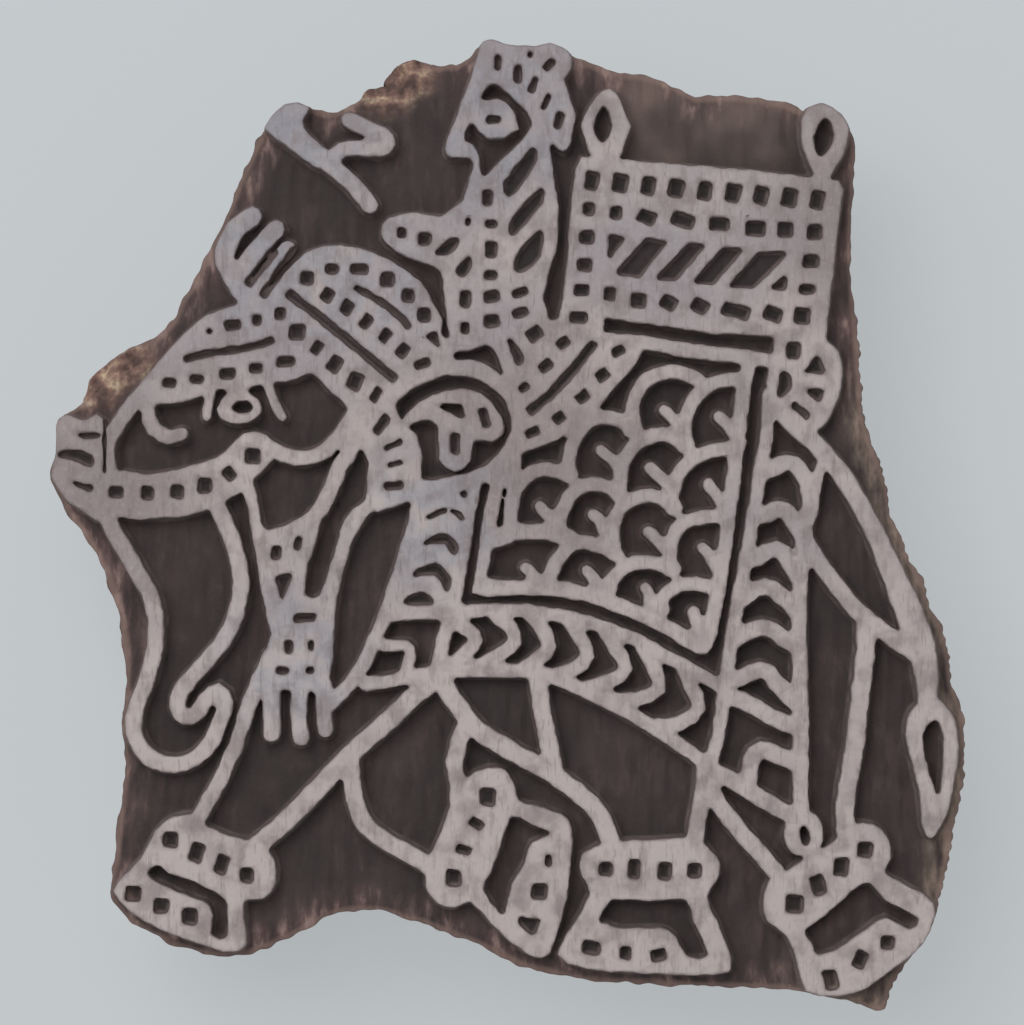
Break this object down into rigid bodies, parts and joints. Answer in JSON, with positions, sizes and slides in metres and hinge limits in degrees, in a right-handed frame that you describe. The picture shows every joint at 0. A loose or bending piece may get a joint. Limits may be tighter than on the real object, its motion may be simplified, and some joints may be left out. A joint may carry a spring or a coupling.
{
  "type": "wooden printing block",
  "caption": "Hand block for printing cloth: a thick wooden block with an elephant and rider carved in relief, and a bridge handle nailed to its back.",
  "frame": {"origin": "centre of the block's outline in plan, on the surface that the handle rests on", "axes": "+Z out of the printing face, +X to the right and +Y to the top of the picture as it is seen on the block"},
  "size_m": [0.1838, 0.1944, 0.062],
  "materials": {
    "block_wood": "close-grained hardwood, worn and stained by pigment",
    "handle_wood": "hand-polished hardwood",
    "nail_iron": "dark forged iron with a little rust"
  },
  "bodies": {
    "root": {"carved_block": "block_wood", "handle": "handle_wood", "nail_left_front": "nail_iron", "nail_left_back": "nail_iron", "nail_right_front": "nail_iron", "nail_right_back": "nail_iron"}
  },
  "joints": []
}
